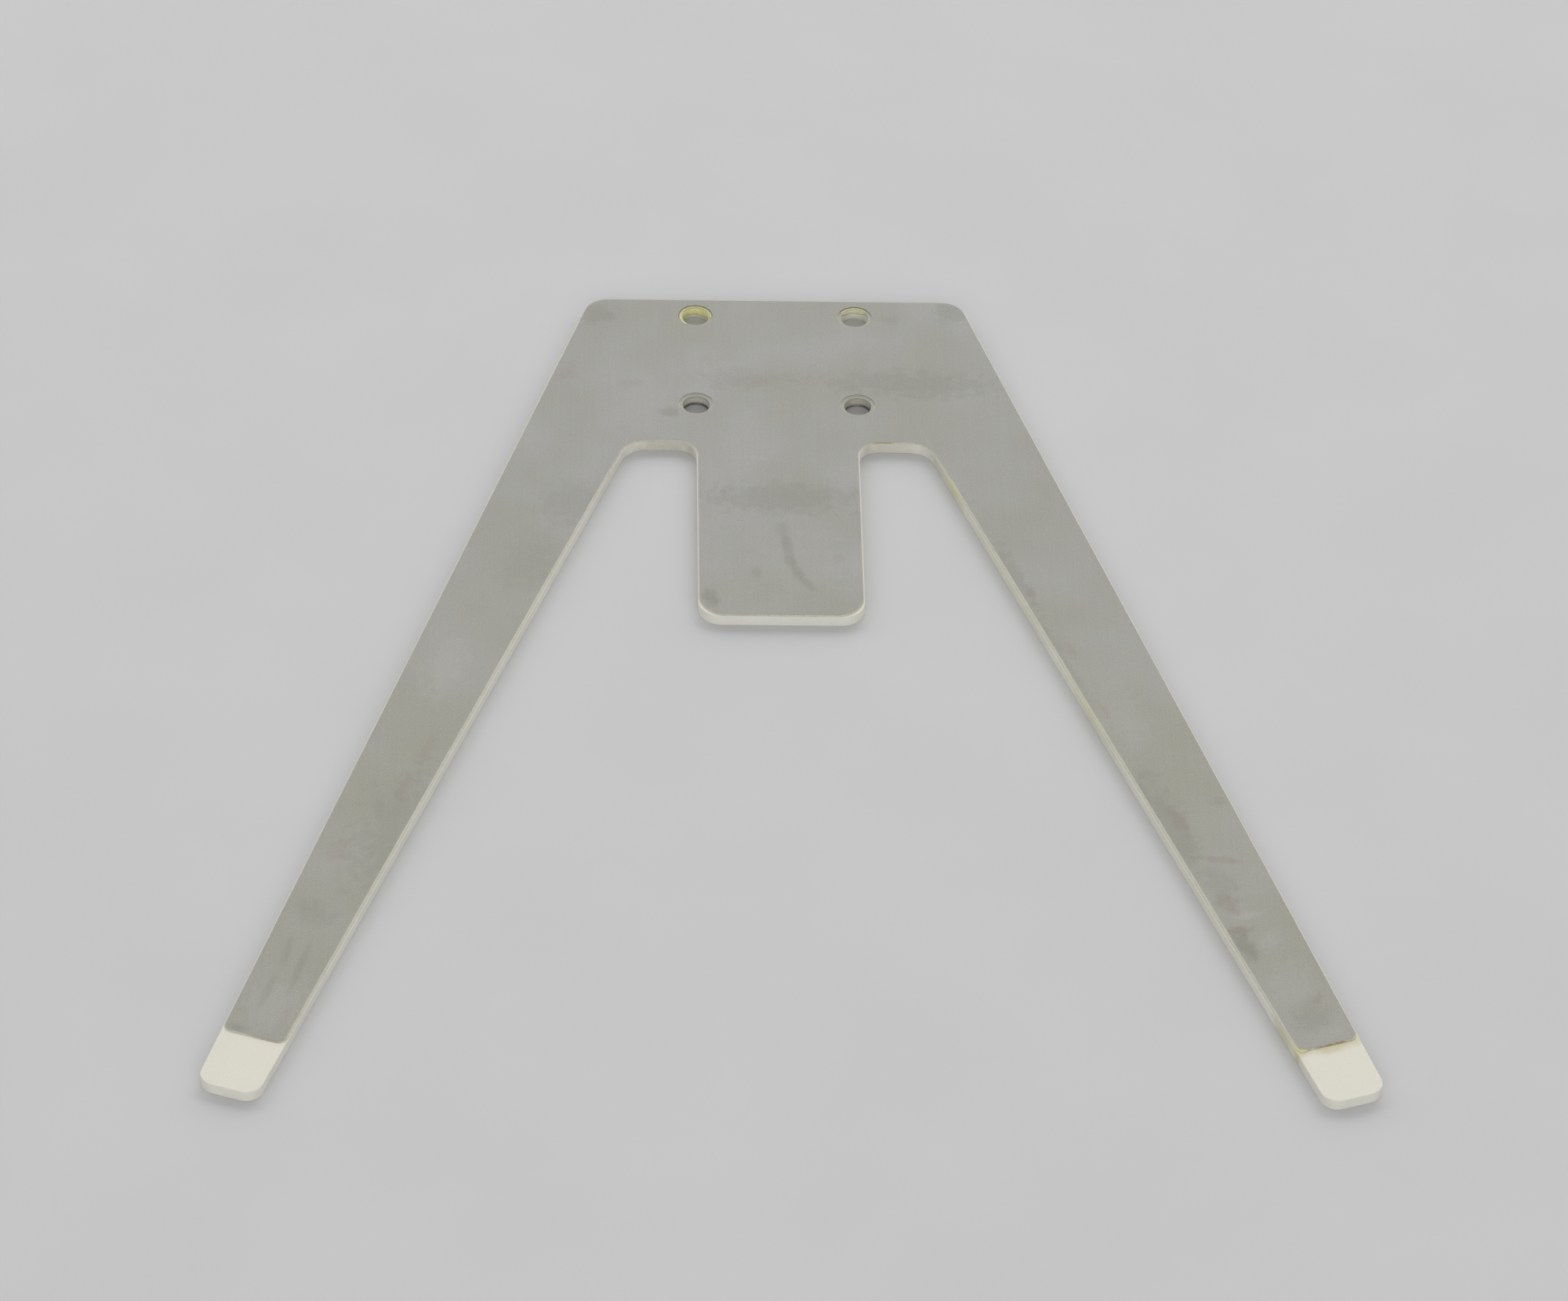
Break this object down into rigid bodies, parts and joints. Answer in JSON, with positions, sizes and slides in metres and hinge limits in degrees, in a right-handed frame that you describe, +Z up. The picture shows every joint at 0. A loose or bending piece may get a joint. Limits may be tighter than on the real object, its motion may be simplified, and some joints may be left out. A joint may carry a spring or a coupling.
{
  "type": "wafer end effector",
  "caption": "Flat ceramic fork with flaring arms, bare ceramic tips, a short central tongue and a thin metal sheet bonded to its upper face, which lifts a wafer from a robot wrist.",
  "frame": {"origin": "middle of the four screw holes, on the ceramic's underside", "axes": "+Z up through the plate, +Y towards the rear edge of the mounting plate, the arms reach towards -Y, X across the blade"},
  "size_m": [0.1666, 0.1799, 0.002],
  "materials": {
    "ceramic": "fine ground, matt, ivory",
    "adhesive": "cured adhesive, yellowed",
    "sheet_metal": "fine matt rolled grey, faintly stained"
  },
  "bodies": {
    "root": {"ceramic_blade": "ceramic", "adhesive_film": "adhesive", "face_sheet": "sheet_metal"}
  },
  "joints": []
}
